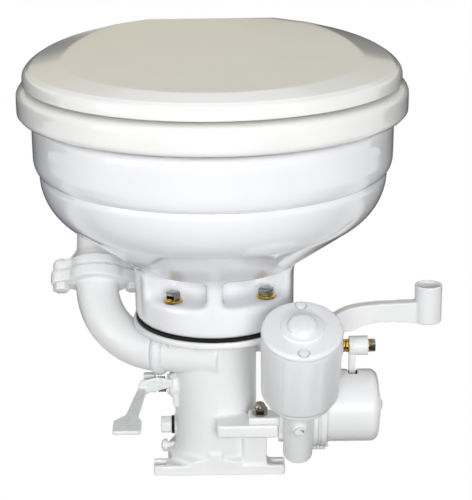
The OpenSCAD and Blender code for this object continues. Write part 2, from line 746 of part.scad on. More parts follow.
module lever_packing_nut() {
  color("goldenrod") difference() {
    xhex(barrel_r + 8, barrel_r + 18, 25, lever_y, lever_z);
    xcyl(barrel_r + 7, barrel_r + 19, lever_shaft_d/2 + run_fit, lever_y, lever_z);
  }
}

module lever_arm() {
  web_t = web_x[1] - web_x[0];
  span = socket_x - socket_d/2 + 4 - web_x[0];
  arm_under = [[14.7, -15.6], [20.4, -13.1], [25, -10.3], [31, -8.7], [41.5, -7.3], [53.4, -6.8], [65.4, -7.5],
    [77.4, -8.9]];
  arm_over = [[77.4, 12.8], [64.8, 12.2], [53, 11.9], [41, 11.4], [29, 10.5], [17.3, 8.9], [8.4, 6.6], [2.5, 4],
    [-2.9, 0.8]];
  color("white") difference() {
    union() {
      xcyl(hub_x[0], hub_x[1], hub_r, lever_y, lever_z);
      xcyl(web_x[0] - 0.1, web_x[1], hub_r, lever_y, lever_z);
      xcyl(web_x[0], web_x[1], lug_r, link_y, link_z);
      // web from the hub to the link and up to the arm
      translate([web_x[0], 0, 0]) rotate([90, 0, 90]) linear_extrude(web_t)
        polygon([[lever_y + 2, lever_z - hub_r + 1], [lever_y + hub_r - 1, lever_z + 2],
                 [arm_y + arm_t/2 + 6, arm_z - 2], [arm_y - arm_t/2, arm_z + 2],
                 [link_y - lug_r + 1, link_z + 2], [link_y, link_z - lug_r + 1]]);
      // bowed arm
      translate([web_x[0], arm_y + arm_t/2, arm_z]) rotate([90, 0, 0]) linear_extrude(arm_t)
        polygon(concat([[0, -25], [web_t, -25], [web_t, -18.2], [web_t + 1.6, -16.6]],
          [for (p = arm_under) [p[0]*span/77.4, p[1]]], [for (p = arm_over) [p[0]*span/77.4, p[1]]],
          [[-8, -1.5], [-7.5, -5], [-3, -9], [0, -14]]));
      // socket for the handle
      translate([socket_x, arm_y, socket_z]) cylinder(h = socket_h, d = socket_d);
    }
    translate([socket_x, arm_y, socket_z + 6]) cylinder(h = socket_h, d = socket_bore);
    xcyl(hub_x[0] - 1, hub_x[1] - 1, lever_shaft_d/2, lever_y, lever_z);
    xcyl(web_x[0] - 1, web_x[1] + 1, link_bolt_d/2, link_y, link_z);
  }
}

// rocker on the lever's shaft, inside the pump
module rocker() {
  color("goldenrod") difference() {
    union() {
      xcyl(-8, 8, 10, lever_y, lever_z);
      box([-4, rocker_y, lever_z - 5], [4, lever_y - 4, lever_z + 5]);
      xcyl(-4, 4, 6.5, rocker_y, lever_z);
      xcyl(-9.6, 9.6, rocker_pin_r, rocker_y, lever_z);
    }
    xcyl(-9, 9, lever_shaft_d/2, lever_y, lever_z);
  }
}

module piston_rod() {
  top = lever_z + 9;
  color("goldenrod") difference() {
    union() {
      translate([0, rocker_y, piston_z]) cylinder(h = lever_z - 26 - piston_z, r = rod_r);
      box([-9.6, rocker_y - 8, lever_z - 27], [9.6, rocker_y + 8, top]);
    }
    box([-6, rocker_y - 9, lever_z - 19], [6, rocker_y + 9, top + 1]);
    // the rocker's pin slides in this slot
    box([-11, rocker_y - 5.2, lever_z - rocker_pin_r - 0.4], [11, rocker_y + 5.2, lever_z + rocker_pin_r + 0.4]);
  }
}

module piston() {
  color("goldenrod") translate([0, 0, piston_z - piston_t/2]) difference() {
    union() {
      cylinder(h = piston_t, r = piston_r - 3);
      cylinder(h = 4, r = piston_r - 0.4);
      translate([0, 0, piston_t - 4]) cylinder(h = 4, r = piston_r - 0.4);
    }
    translate([0, rocker_y, piston_t/2]) cylinder(h = piston_t, r = rod_r);
  }
}

module piston_seal() {
  color("saddlebrown") translate([0, 0, piston_z - piston_t/2 + 4]) difference() {
    cylinder(h = piston_t - 8, r = piston_r);
    translate([0, 0, -1]) cylinder(h = piston_t, r = piston_r - 3);
  }
}

module link_bolt() {
  color("silver") {
    xcyl(web_x[0] - 4, lug_x[1] + 2, link_bolt_d/2, link_y, link_z);
    xhex(web_x[0] - 8, web_x[0], 13, link_y, link_z);
    xhex(lug_x[1] + 1.5, lug_x[1] + 7.2, 12, link_y, link_z);
  }
}

module link_washers() {
  color("goldenrod") for (x = [[web_x[1], web_x[1] + 2], [web_x[1] + 2.6, lug_x[0] - part_gap],
                               [lug_x[1] + part_gap, lug_x[1] + 1.5]]) difference() {
    xcyl(x[0], x[1], 6.4, link_y, link_z);
    xcyl(x[0] - 1, x[1] + 1, link_bolt_d/2, link_y, link_z);
  }
}

module connecting_rod() {
  d = [link_y - rod_pin[0], link_z - rod_pin[1]];
  n = [-d[1], d[0]]/norm(d);
  color("white") difference() {
    union() {
      xcyl(lug_x[0], lug_x[1], lug_r, link_y, link_z);
      xcyl(rod_x[0], rod_x[1], big_end_r, rod_pin[0], rod_pin[1]);
      translate([rod_x[0], 0, 0]) rotate([90, 0, 90]) linear_extrude(rod_x[1] - rod_x[0])
        polygon([rod_pin + 6*n, rod_pin - 6*n, [link_y, link_z] - 5.5*n, [link_y, link_z] + 5.5*n]);
    }
    xcyl(lug_x[0] - 1, lug_x[1] + 1, link_bolt_d/2 + run_fit, link_y, link_z);
    xcyl(rod_x[0] - 1, rod_x[1] + 1, crank_pin_d/2 + run_fit, rod_pin[0], rod_pin[1]);
  }
}

// ---------- gearbox ----------

module case_ears(x0, x1) {
  for (a = case_screw_a)
    xcyl(x0, x1, 6, gear_y + (joint_r - 1)*cos(a), gear_z + (joint_r - 1)*sin(a));
}

module case_screw_holes(x0, x1, r) {
  for (a = case_screw_a)
    xcyl(x0, x1, r, gear_y + (joint_r - 1)*cos(a), gear_z + (joint_r - 1)*sin(a));
}

module gear_housing() {
  split = case_x[1] - 1;
  color("white") difference() {
    union() {
      in_worm() translate([0, 0, tube_t]) cylinder(h = motor_t - tube_t, r = worm_tube_r);
      in_worm() translate([0, 0, motor_t - 22]) cylinder(h = 16, r1 = worm_tube_r, r2 = 27);
      in_worm() translate([0, 0, motor_t - 6]) cylinder(h = 6, r = motor_r - 5);
      xcyl(case_x[0], split, gear_case_r, gear_y, gear_z);
      xcyl(split - 6.5, split, joint_r, gear_y, gear_z);
      case_ears(split - 6.5, split);
      xcyl(case_x[0] - 5, case_x[0], 13, gear_y, gear_z);
      // lug on the pump's arm
      box([gear_x - 47, -60, 61], [gear_x - 8, -38, 68]);
      box([gear_x - 18.7, -60, 46], [gear_x - 8, -40, 62]);
      // boss of the grease plug
      in_worm() translate([0, -worm_tube_r + 3, plug_t]) rotate([90, 0, 0]) cylinder(h = 4.4, r = 7);
    }
    in_worm() translate([0, 0, tube_t + 4]) cylinder(h = motor_t - tube_t, r = worm_room_r);
    xcyl(case_x[0] + 4, case_x[1], gear_room_r, gear_y, gear_z);
    xcyl(case_x[0] - 2, case_x[0] + 5, shaft_d/2 + 3, gear_y, gear_z);
    case_screw_holes(split - 8, split + 1, 2.6);
    translate(case_bolt) translate([0, 0, 55]) cylinder(h = 30, r = 4);
    in_worm() translate([0, 0, plug_t]) rotate([90, 0, 0]) cylinder(h = 30, r = 3.5);
  }
}

module gear_cover() {
  x0 = case_x[1] + 1;
  color("white") difference() {
    union() {
      xcyl(x0, case_x[2] - 6, gear_case_r, gear_y, gear_z);
      // rounded, slightly bulging end with a nub
      translate([case_x[2] - 6, gear_y, gear_z]) rotate([0, 90, 0]) rotate_extrude()
        polygon(concat([[0, -3], [gear_case_r, -3]], arc([gear_case_r - 8, -2], 8, 0, 78, 7),
          [[gear_case_r - 16, 7.2], [11, 8.8], [4, 9.4], [4, 10.8], [3, 11.4], [0, 11.4]]));
      xcyl(x0, x0 + 6.5, joint_r, gear_y, gear_z);
      case_ears(x0, x0 + 6.5);
    }
    xcyl(x0 - 1, case_x[2] - 4.5, gear_room_r, gear_y, gear_z);
    // slot of the connecting rod
    box([rod_x[0] - 1, gear_y - 4, gear_z + 10], [rod_x[1] + 1, gear_y + 21.5, gear_z + gear_case_r + 2]);
    case_screw_holes(x0 - 1, x0 + 8, 2.6);
  }
}

module cover_gasket() {
  color("black") difference() {
    union() {
      xcyl(case_x[1] - 1, case_x[1] + 1, joint_r - 0.6, gear_y, gear_z);
      case_ears(case_x[1] - 1, case_x[1] + 1);
    }
    xcyl(case_x[1] - 2, case_x[1] + 2, gear_room_r, gear_y, gear_z);
    case_screw_holes(case_x[1] - 2, case_x[1] + 2, 2.6);
  }
}

module cover_screws() {
  x0 = case_x[1] - 7.5;
  x1 = case_x[1] + 7.5;
  color("whitesmoke") for (a = case_screw_a) {
    y = gear_y + (joint_r - 1)*cos(a);
    z = gear_z + (joint_r - 1)*sin(a);
    xcyl(x0, x1, 2.5, y, z);
    xcyl(x1, x1 + 3, 3.6, y, z);
    xhex(x0 - 3, x0, 6.4, y, z);
  }
}

module case_bushes() {
  r = shaft_d/2;
  color("goldenrod") difference() {
    xcyl(case_x[0] - 2, case_x[0] + 6, r + 3, gear_y, gear_z);
    xcyl(case_x[0] - 3, case_x[0] + 7, r + run_fit, gear_y, gear_z);
  }
}

module crankshaft() {
  color("silver") {
    xcyl(case_x[0] - 1, crank_x[0] + 1, shaft_d/2, gear_y, gear_z);
    difference() {
      xcyl(crank_x[0], crank_x[1], 20, gear_y, gear_z);
      for (s = [-1, 1]) translate([crank_x[0] - 1, gear_y - 6, gear_z + s*26])
        rotate([0, 90, 0]) cylinder(h = 10, r = 15);
    }
    xcyl(crank_x[1] - 1, crank_x[2], crank_pin_d/2, rod_pin[0], rod_pin[1]);
  }
}

// worm wheel with straight-flanked teeth; a gap faces the worm at rest
module worm_wheel() {
  rt = wheel_pr + 0.8*tooth_m;
  rr = wheel_pr - tooth_m;
  step = 360/wheel_teeth;
  color("goldenrod") difference() {
    union() {
      translate([wheel_x - wheel_w/2, gear_y, gear_z]) rotate([90, 0, 90]) rotate(worm_tilt + 180 + step/2)
        linear_extrude(wheel_w) polygon([for (i = [0:wheel_teeth - 1], p = [[rr, -0.34], [rt, -0.17], [rt, 0.17], [rr, 0.34]])
          p[0]*[cos((i + p[1])*step), sin((i + p[1])*step)]]);
      xcyl(wheel_x - 8, wheel_x + 8, 13, gear_y, gear_z);
    }
    xcyl(wheel_x - 9, wheel_x + 9, shaft_d/2, gear_y, gear_z);
    for (a = [0:60:300])
      xcyl(wheel_x - 9, wheel_x + 9, 4, gear_y + 19*cos(a), gear_z + 19*sin(a));
  }
}

// worm: a core and one unbroken thread swept along a helix
module worm() {
  lead = PI*tooth_m;
  n = 20;
  half = 1.9;
  tip = worm_pr + 0.75*tooth_m;
  root = worm_pr - 1.15*tooth_m;
  sect = [[root - 0.6, -0.29*lead], [tip, -0.11*lead], [tip, 0.11*lead], [root - 0.6, 0.29*lead]];
  steps = round(2*half*n);
  pts = [for (i = [0:steps], p = sect) let (a = 90 + 360*(i/n - half))
    [p[0]*cos(a), p[0]*sin(a), mesh_t + lead*(i/n - half) + p[1]]];
  faces = concat([[3, 2, 1, 0]],
    [for (i = [0:steps - 1], k = [0:3]) let (m = (k + 1)%4) [i*4 + k, (i + 1)*4 + m, (i + 1)*4 + k]],
    [for (i = [0:steps - 1], k = [0:3]) let (m = (k + 1)%4) [i*4 + k, i*4 + m, (i + 1)*4 + m]],
    [[for (k = [0:3]) steps*4 + k]]);
  color("silver") in_worm() {
    difference() {
      union() {
        translate([0, 0, mesh_t - 17.3]) cylinder(h = 36.3, r = root);
        polyhedron(pts, faces);
      }
      translate([0, 0, mesh_t - 30]) cylinder(h = 60, r = 3.5);
    }
  }
}

module worm_bushes() {
  color("goldenrod") in_worm() for (z = [tube_t + 4.1, motor_t - 7.5]) translate([0, 0, z]) difference() {
    cylinder(h = 3.4, r = worm_room_r - 0.03);
    translate([0, 0, -1]) cylinder(h = 7, r = 3.5 + run_fit);
  }
}

module grease_plug() {
  color("whitesmoke") in_worm() translate([0, -worm_tube_r - 1.4, plug_t]) rotate([90, 0, 0]) {
    translate([0, 0, -4]) cylinder(h = 4, r = 3.4);
    cylinder(h = 2.6, r = 5.2);
    translate([0, 0, 2.6]) cylinder(h = 2.4, d = 7, $fn = 4);
  }
}

module case_nut() {
  color("gray") translate(case_bolt) {
    translate([0, 0, 46]) cylinder(h = 27, r = 3.9);
    translate([0, 0, 68]) cylinder(h = 7, d = 13/cos(30), $fn = 6);
    translate([0, 0, 75]) sphere(r = 6);
  }
}

// ---------- motor ----------

module motor_can() {
  seat = motor_l - 6;
  color("white") in_worm() translate([0, 0, motor_t]) difference() {
    // the can widens a little towards its cap
    rotate_extrude() polygon(concat([[0, 0], [motor_r - 6.2, 0]], arc([motor_r - 6.2, 5.5], 5.5, -84, 0, 7),
      [[motor_r, seat], [0, seat]]));
    translate([0, 0, 4]) cylinder(h = motor_l, r = motor_r - 3);
    translate([0, 0, -1]) cylinder(h = 6, r = 8);
    for (s = [-1, 1]) translate([0, s*(motor_r - 6.5), 1]) cylinder(h = 5, r = 2.6);
  }
}

module motor_end_cap() {
  top = motor_l;
  seat = motor_l - 6;
  color("white") in_worm() translate([0, 0, motor_t]) difference() {
    union() {
      rotate_extrude() polygon(concat([[0, seat], [motor_r, seat]], arc([motor_r - 4, seat + 2], 4, 0, 90, 6),
        // ring boss and dome
        [[20, top], [19.2, top + 2], [13.8, top + 2], [13.2, top + 5.5], [11, top + 7.6], [7.5, top + 8.4],
         [0, top + 8.6]]));
      translate([0, 0, seat - 4]) cylinder(h = 5, r = motor_r - 3.1);
    }
    translate([0, 0, seat - 5]) cylinder(h = 6.5, r = motor_r - 8);
    translate([0, 0, seat - 5]) cylinder(h = 12.2, r = 3.5 + run_fit);
    for (s = [-1, 1]) translate([0, s*(motor_r - 6.5), 0]) {
      translate([0, 0, top - 2.6]) cylinder(h = 6, r = 5.4);
      translate([0, 0, seat - 6]) cylinder(h = 20, r = 2.6);
    }
  }
}

module motor_bolts() {
  color("whitesmoke") in_worm() translate([0, 0, motor_t]) for (s = [-1, 1])
    translate([0, s*(motor_r - 6.5), 0]) {
      translate([0, 0, 1]) cylinder(h = motor_l - 3, r = 2.5);
      translate([0, 0, motor_l - 2.6]) cylinder(h = 3.2, r = 4.4);
    }
}

module armature() {
  color("silver") in_worm() {
    translate([0, 0, tube_t + 4.5]) cylinder(h = motor_t + motor_l - tube_t - 4, r = 3.5);
    translate([0, 0, motor_t + 16]) cylinder(h = motor_l - 48, r = motor_r - 12);
    translate([0, 0, motor_t + motor_l - 28]) cylinder(h = 8, r = 13);
  }
}

// ---------- hinge, seat and lid ----------

module hinge_posts() {
  color("white") for (s = [-1, 1]) translate([s*hinge_gap/2, 0, 0]) difference() {
    union() {
      box([-post_w/2, hinge_bolt_y - 12, rim_z], [post_w/2, hinge_y - 2, rim_z + 5.5]);
      translate([0, hinge_bolt_y, rim_z]) cylinder(h = 5.5, r = 13);
      box([-post_w/2, hinge_y - 11, rim_z], [post_w/2, hinge_y, hinge_z]);
      xcyl(-post_w/2, post_w/2, knuckle_r, hinge_y, hinge_z);
    }
    xcyl(-post_w, post_w, hinge_rod_d/2, hinge_y, hinge_z);
    translate([0, hinge_bolt_y, rim_z - 1]) cylinder(h = 8, r = 4.1);
    translate([0, hinge_bolt_y, rim_z + 1.5]) cylinder(h = 4.01, r1 = 4.1, r2 = 8.1);
  }
}

module hinge_bolts() {
  color("silver") for (s = [-1, 1]) translate([s*hinge_gap/2, hinge_bolt_y, 0]) {
    translate([0, 0, rim_z - 44]) cylinder(h = 47, r = 4);
    translate([0, 0, rim_z + 1.5]) cylinder(h = 4, r1 = 4, r2 = 8);
    translate([0, 0, rim_z - shelf_t - 2.5]) cylinder(h = 2.5, r = 10);
    translate([0, 0, rim_z - shelf_t - 9.5]) cylinder(h = 7, r = 7);
    for (w = [-1, 1]) box([w*11 - 5, -1.4, rim_z - shelf_t - 15], [w*11 + 5, 1.4, rim_z - shelf_t - 4]);
  }
}

module hinge_rod() {
  color("silver") xcyl(-hinge_gap/2 - 23, hinge_gap/2 + 23, hinge_rod_d/2, hinge_y, hinge_z);
}

// outline of seat or lid: half an ellipse in front, a longer one behind, cut off by the hinge
function plan(a, front, back, n = 20) =
  let (long = back*1.22, cut = back - 26)
  concat([for (i = [0:n]) let (t = -180 + 180*i/n) [a*cos(t), front*sin(t)]],
    [for (i = [1:6]) let (y = cut*i/6) [a*sqrt(1 - y*y/long/long), y]],
    [[a*sqrt(1 - cut*cut/long/long) - 32, back], [-a*sqrt(1 - cut*cut/long/long) + 32, back]],
    [for (i = [6:-1:1]) let (y = cut*i/6) [-a*sqrt(1 - y*y/long/long), y]]);

module slab(a, front, back, z0, z1) {
  translate([0, 0, z0]) linear_extrude(z1 - z0) polygon(plan(a, front, back));
}

module seat_ring() {
  top = seat_z + seat_t;
  color("white") difference() {
    hull() {
      slab(seat_a, seat_front, seat_back, seat_z + 2, top - 5);
      slab(seat_a - 1.5, seat_front - 1.5, seat_back - 1, seat_z, seat_z + 1);
      slab(seat_a - 9, seat_front - 9, seat_back - 6, top - 1, top);
    }
    translate([0, -6, seat_z - 1]) scale([seat_a - seat_ring_w, seat_front - 48, 1])
      cylinder(h = seat_t + 2, r = 1);
  }
}

module seat_bumpers() {
  color("gray") for (a = [-135, -45, 35, 145]) translate([(bowl_r - 12)*cos(a), (bowl_r - 12)*sin(a), rim_z + part_gap])
    cylinder(h = seat_bump - part_gap, r1 = 7, r2 = 8);
}

module seat_straps() {
  color("white") for (s = [-1, 1]) difference() {
    union() {
      x = s*(hinge_gap/2 + post_w/2 + 6.3);
      xcyl(x - 6, x + 6, knuckle_r, hinge_y, hinge_z);
      box([x - 6, seat_back, hinge_z - 10], [x + 6, hinge_y, hinge_z + 1]);
      box([x - 6, seat_back, seat_z + 2], [x + 6, seat_back + leaf_t, hinge_z]);
    }
    xcyl(-hinge_gap, hinge_gap, hinge_rod_d/2 + run_fit, hinge_y, hinge_z);
  }
}

module lid() {
  edge = lid_z + lid_t - 6;
  color("white") hull() {
    slab(lid_a, lid_front, lid_back, lid_z + 1, edge - 1.5);
    slab(lid_a - 1, lid_front - 1, lid_back - 0.5, lid_z, lid_z + 0.5);
    slab(lid_a - 1.2, lid_front - 1.2, lid_back - 1, edge - 1, edge);
    slab(lid_a - 37, lid_front - 22, lid_back - 6, edge, lid_z + lid_t);
  }
}

module lid_bumpers() {
  color("gray") for (a = [-130, -50, 30, 150]) translate([(lid_a - 30)*cos(a), (lid_a - 30)*sin(a), lid_z - lid_bump + part_gap])
    cylinder(h = lid_bump - part_gap, r = 6);
}

module lid_straps() {
  color("white") for (s = [-1, 1]) difference() {
    union() {
      x = s*(hinge_gap/2 - post_w/2 - 6.3);
      xcyl(x - 6, x + 6, knuckle_r, hinge_y, hinge_z);
      box([x - 6, lid_back, hinge_z - 2], [x + 6, hinge_y - 1, lid_z + 8]);
      box([x - 6, lid_back, lid_z + 2], [x + 6, lid_back + leaf_t, lid_z + lid_t - 8]);
    }
    xcyl(-hinge_gap, hinge_gap, hinge_rod_d/2 + run_fit, hinge_y, hinge_z);
  }
}

// ---------- the assembly ----------

pump_base();
drain_plug();
drain_washer();
vent_plug();
translate([0, barrel_r - 4, inlet_z]) rotate([-90, 0, 0]) water_inlet();
translate([0, 0, inlet_z - 17]) foot_valve();
base_gasket();
bowl();
bowl_bolts();
bowl_washers();
bowl_nuts();
flush_inlet();
discharge_elbow();
elbow_gland();
flange_gasket();
discharge_neck();
flange_bolts();
joker_valve();
flap_valve();
flap_pin();
pedal_shaft();
foot_pedal();
pedal_spring();
pedal_packing_nut();
lever_shaft();
lever_packing_nut();
lever_arm();
rocker();
piston_rod();
piston();
piston_seal();
link_bolt();
link_washers();
connecting_rod();
gear_housing();
gear_cover();
cover_gasket();
cover_screws();
case_bushes();
crankshaft();
worm_wheel();
worm();
worm_bushes();
grease_plug();
case_nut();
motor_can();
motor_end_cap();
motor_bolts();
armature();
hinge_posts();
hinge_bolts();
hinge_rod();
seat_ring();
seat_bumpers();
seat_straps();
lid();
lid_bumpers();
lid_straps();
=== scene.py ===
import json
import math

import bpy
from mathutils import Matrix, Vector


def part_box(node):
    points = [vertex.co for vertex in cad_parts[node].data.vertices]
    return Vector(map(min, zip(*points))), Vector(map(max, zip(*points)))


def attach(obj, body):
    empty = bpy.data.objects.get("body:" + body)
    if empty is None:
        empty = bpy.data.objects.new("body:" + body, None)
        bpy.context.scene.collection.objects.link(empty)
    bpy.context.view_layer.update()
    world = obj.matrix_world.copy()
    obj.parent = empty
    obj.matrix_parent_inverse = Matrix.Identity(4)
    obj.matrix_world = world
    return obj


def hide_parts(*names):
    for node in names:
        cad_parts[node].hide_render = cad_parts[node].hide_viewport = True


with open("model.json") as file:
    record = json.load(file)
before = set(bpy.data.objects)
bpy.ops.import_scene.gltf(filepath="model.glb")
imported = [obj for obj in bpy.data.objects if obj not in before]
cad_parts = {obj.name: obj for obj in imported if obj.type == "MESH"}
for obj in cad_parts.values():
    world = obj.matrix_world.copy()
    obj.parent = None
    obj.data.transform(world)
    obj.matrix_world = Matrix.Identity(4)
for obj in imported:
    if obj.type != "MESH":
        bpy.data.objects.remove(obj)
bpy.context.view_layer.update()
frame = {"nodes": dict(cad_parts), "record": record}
nodes = frame["nodes"]
body_of_node = {n: b for b, ns in frame["record"]["behaviour"]["bodies"].items() for n in ns}

# ---------- camera, floor and lamps ----------

camera_data = bpy.data.cameras.new("camera")
camera_data.sensor_fit = "VERTICAL"
camera_data.sensor_height = 36.0
camera_data.lens = 119.16
camera_data.shift_x = 0.044
camera_data.shift_y = 0.002
camera_data.clip_start = 0.05
camera = bpy.data.objects.new("camera", camera_data)
bpy.context.collection.objects.link(camera)
camera.matrix_world = (Matrix.Translation((0, -1.5, 0.715)) @ Matrix.Rotation(math.radians(71.6), 4, "X")
                       @ Matrix.Rotation(math.radians(-0.65), 4, "Z"))
bpy.context.scene.camera = camera
bpy.context.scene.view_settings.view_transform = "Standard"


def paint(code):
    """sRGB hex to the linear colour that a shader takes."""
    parts = [int(code[i:i + 2], 16) / 255 for i in (1, 3, 5)]
    return [c / 12.92 if c <= 0.04045 else ((c + 0.055) / 1.055) ** 2.4 for c in parts] + [1.0]


def add(tree, kind, feeds=None, **settings):
    """Adds a node: settings are its properties, feeds its sockets' values or the sockets that drive them."""
    node = tree.nodes.new(kind)
    for name, value in settings.items():
        setattr(node, name, value)
    for name, value in (feeds or {}).items():
        if isinstance(value, bpy.types.NodeSocket):
            tree.links.new(value, node.inputs[name])
        else:
            node.inputs[name].default_value = value
    return node


def seen_directly(tree):
    """1 for rays of the camera, off a gloss or through a glass, and 0 for the light that falls on things."""
    path = add(tree, "ShaderNodeLightPath")
    eye = add(tree, "ShaderNodeMath", {0: path.outputs["Is Camera Ray"], 1: path.outputs["Is Glossy Ray"]},
              operation="MAXIMUM")
    eye = add(tree, "ShaderNodeMath", {0: eye.outputs[0], 1: path.outputs["Is Transmission Ray"]},
              operation="MAXIMUM")
    return eye.outputs[0]


# white wherever the camera, a gloss or a glass looks at it, and a plain grey light on everything else
ROOM_LIGHT = 0.36
world = bpy.data.worlds.new("studio")
bpy.context.scene.world = world
world.use_nodes = True
tree = world.node_tree
tree.nodes.clear()
room = add(tree, "ShaderNodeBackground", {"Color": paint("#FFFFFF"), "Strength": ROOM_LIGHT})
bright = add(tree, "ShaderNodeBackground", {"Color": paint("#FFFFFF"), "Strength": 1.0})
both = add(tree, "ShaderNodeMixShader", {0: seen_directly(tree), 1: room.outputs[0], 2: bright.outputs[0]})
add(tree, "ShaderNodeOutputWorld", {"Surface": both.outputs[0]})


def lamp(name, place, aim, size, watts):
    """A white rectangular area lamp turned to face a point."""
    data = bpy.data.lights.new(name, "AREA")
    data.shape = "RECTANGLE"
    data.size, data.size_y = size
    data.energy = watts
    obj = bpy.data.objects.new(name, data)
    bpy.context.collection.objects.link(obj)
    facing = (Vector(place) - Vector(aim)).to_track_quat("Z", "Y").to_matrix().to_4x4()
    obj.matrix_world = Matrix.Translation(place) @ facing
    return obj


# the gloss sees a calmer card in the softbox's place, so that its mirror image leaves the lid's outline showing
lamp("front_softbox", (0.22, -2.35, 0.74), (0, 0, 0.2), (1.4, 1.0), 41.5).visible_glossy = False
lamp("left_fill", (-2.0, -1.3, 0.8), (0, 0, 0.2), (0.8, 1.3), 6)
lamp("ceiling", (0, 0.2, 2.4), (0, 0.1, 0.3), (1.8, 1.8), 7)


def deselect():
    """Leaves edit mode and selects nothing."""
    if bpy.context.object and bpy.context.object.mode != "OBJECT":
        bpy.ops.object.mode_set(mode="OBJECT")
    bpy.ops.object.select_all(action="DESELECT")


def only(piece):
    """Makes the piece the selected and active object."""
    deselect()
    piece.select_set(True)
    bpy.context.view_layer.objects.active = piece


def new_piece(name):
    """Names the primitive that was just added, and puts its place into its mesh."""
    piece = bpy.context.object
    piece.name = name
    bpy.ops.object.transform_apply(location=True, rotation=True, scale=True)
    return piece


def plain_surface(name, size, place, turn=(0, 0, 0)):
    """A plane of the studio with an empty material of its own; turn is in radians."""
    deselect()
    bpy.ops.mesh.primitive_plane_add(size=1, location=place, rotation=turn)
    obj = bpy.context.object
    obj.scale = (size[0], size[1], 1)
    new_piece(name)
    material = bpy.data.materials.new(name)
    material.use_nodes = True
    material.node_tree.nodes.clear()
    obj.data.materials.append(material)
    return obj, material.node_tree


# the floor glows almost white to the eye, and the paper under the glow keeps the shadow
FLOOR_GLOW_SHARE = 0.86
floor, tree = plain_surface("floor", (8, 8), (0, 0, 0))
share = add(tree, "ShaderNodeMath", {0: seen_directly(tree), 1: FLOOR_GLOW_SHARE}, operation="MULTIPLY")
paper = add(tree, "ShaderNodeBsdfDiffuse", {"Color": paint("#A8A8A7")})
glow = add(tree, "ShaderNodeEmission", {"Color": paint("#FFFFFF"), "Strength": 1.13})
both = add(tree, "ShaderNodeMixShader", {0: share.outputs[0], 1: paper.outputs[0], 2: glow.outputs[0]})
add(tree, "ShaderNodeOutputMaterial", {"Surface": both.outputs[0]})

# how far in from its edges a card fades out, as a share of its size
CARD_FADE = 0.12

# cards that only the object's gloss sees, each fading out at its edges: an olive wall far behind, with a dark
# cupboard low on its right, dark ones low on both sides, a blue-grey one and a dark one on the floor behind,
# and the dark room round the camera
for name, place, turn, size, left_code, right_code, strength in (
        ("card_softbox", (0.22, -2.36, 0.74), (90, 0, 0), (1.5, 1.1), "#FFFFFF", "#FFFFFF", 2.4),
        ("card_wall", (0.1, 1.9, 1.2), (90, 0, 0), (4.4, 1.7), "#E0D6AE", "#C9C7BA", 1.0),
        ("card_cupboard", (0.75, 1.8, 0.42), (90, 0, 0), (1.5, 0.6), "#4A4638", "#4A4638", 1.0),
        ("card_left", (-1.05, 0.74, 0.1), (90, 0, 32), (2.2, 1.1), "#12110F", "#12110F", 1.0),
        ("card_right", (0.9, 0.86, 0.1), (90, 0, -31), (1.6, 1.1), "#1B1A17", "#1B1A17", 1.0),
        ("card_floor_left", (-0.62, 0.68, 0.004), (0, 0, 0), (1.16, 1.1), "#141E28", "#22344A", 1.0),
        ("card_floor_right", (0.6, 0.68, 0.004), (0, 0, 0), (1.06, 1.0), "#1C1C1A", "#1C1C1A", 1.0),
        ("card_floor_front", (0, -0.74, 0.004), (0, 0, 0), (2.3, 1.72), "#1C1C1B", "#1C1C1B", 1.0),
        ("card_room", (0, -3.7, 1.3), (90, 0, 0), (7.0, 2.6), "#24231F", "#24231F", 1.0)):
    card, tree = plain_surface(name, size, place, [math.radians(t) for t in turn])
    spot = add(tree, "ShaderNodeSeparateXYZ", {"Vector": add(tree, "ShaderNodeTexCoord").outputs["UV"]})
    felt = add(tree, "ShaderNodeMix", {"Factor": spot.outputs["X"], "A": paint(left_code), "B": paint(right_code)},
               data_type="RGBA")
    felt = add(tree, "ShaderNodeEmission", {"Color": felt.outputs["Result"], "Strength": strength})
    fade = None
    for way in ("X", "Y"):
        near = add(tree, "ShaderNodeMath", {0: spot.outputs[way], 1: 0.5}, operation="PINGPONG")
        near = add(tree, "ShaderNodeMapRange", {"Value": near.outputs[0], "From Max": CARD_FADE},
                   interpolation_type="SMOOTHSTEP")
        fade = near if fade is None else add(tree, "ShaderNodeMath", {0: fade.outputs[0], 1: near.outputs[0]},
                                             operation="MULTIPLY")
    clear = add(tree, "ShaderNodeBsdfTransparent")
    both = add(tree, "ShaderNodeMixShader", {0: fade.outputs[0], 1: clear.outputs[0], 2: felt.outputs[0]})
    add(tree, "ShaderNodeOutputMaterial", {"Surface": both.outputs[0]})
    card.visible_camera = False
    card.visible_shadow = False
    card.visible_diffuse = False
    card.visible_transmission = False

# ---------- finishes ----------


def start(name, **values):
    """A material with its principled shader, and Object coordinates for its patterns."""
    material = bpy.data.materials.new(name)
    material.use_nodes = True
    tree = material.node_tree
    tree.nodes.clear()
    shader = add(tree, "ShaderNodeBsdfPrincipled", {k.replace("_", " "): v for k, v in values.items()})
    add(tree, "ShaderNodeOutputMaterial", {"Surface": shader.outputs[0]})
    place = add(tree, "ShaderNodeTexCoord").outputs["Object"]
    return material, tree, shader, place


def grains(mm):
    """Noise scale that gives a pattern of about this size in a world measured in metres."""
    return 1000.0 / mm


def noise(tree, place, mm, detail=2.0, roughness=0.5):
    """Soft random pattern of about this size; gives its factor."""
    node = add(tree, "ShaderNodeTexNoise",
               {"Vector": place, "Scale": grains(mm), "Detail": detail, "Roughness": roughness})
    return node.outputs["Fac"]


def cells(tree, place, mm):
    """Closely packed dimples of about this size; gives the distance from their middles."""
    return add(tree, "ShaderNodeTexVoronoi", {"Vector": place, "Scale": grains(mm)}).outputs["Distance"]


def drift(tree, shader, factor, code, other):
    """The finish's colour drifts between two colours."""
    body = add(tree, "ShaderNodeMix", {"Factor": factor, "A": paint(code), "B": paint(other)}, data_type="RGBA")
    tree.links.new(body.outputs["Result"], shader.inputs["Base Color"])


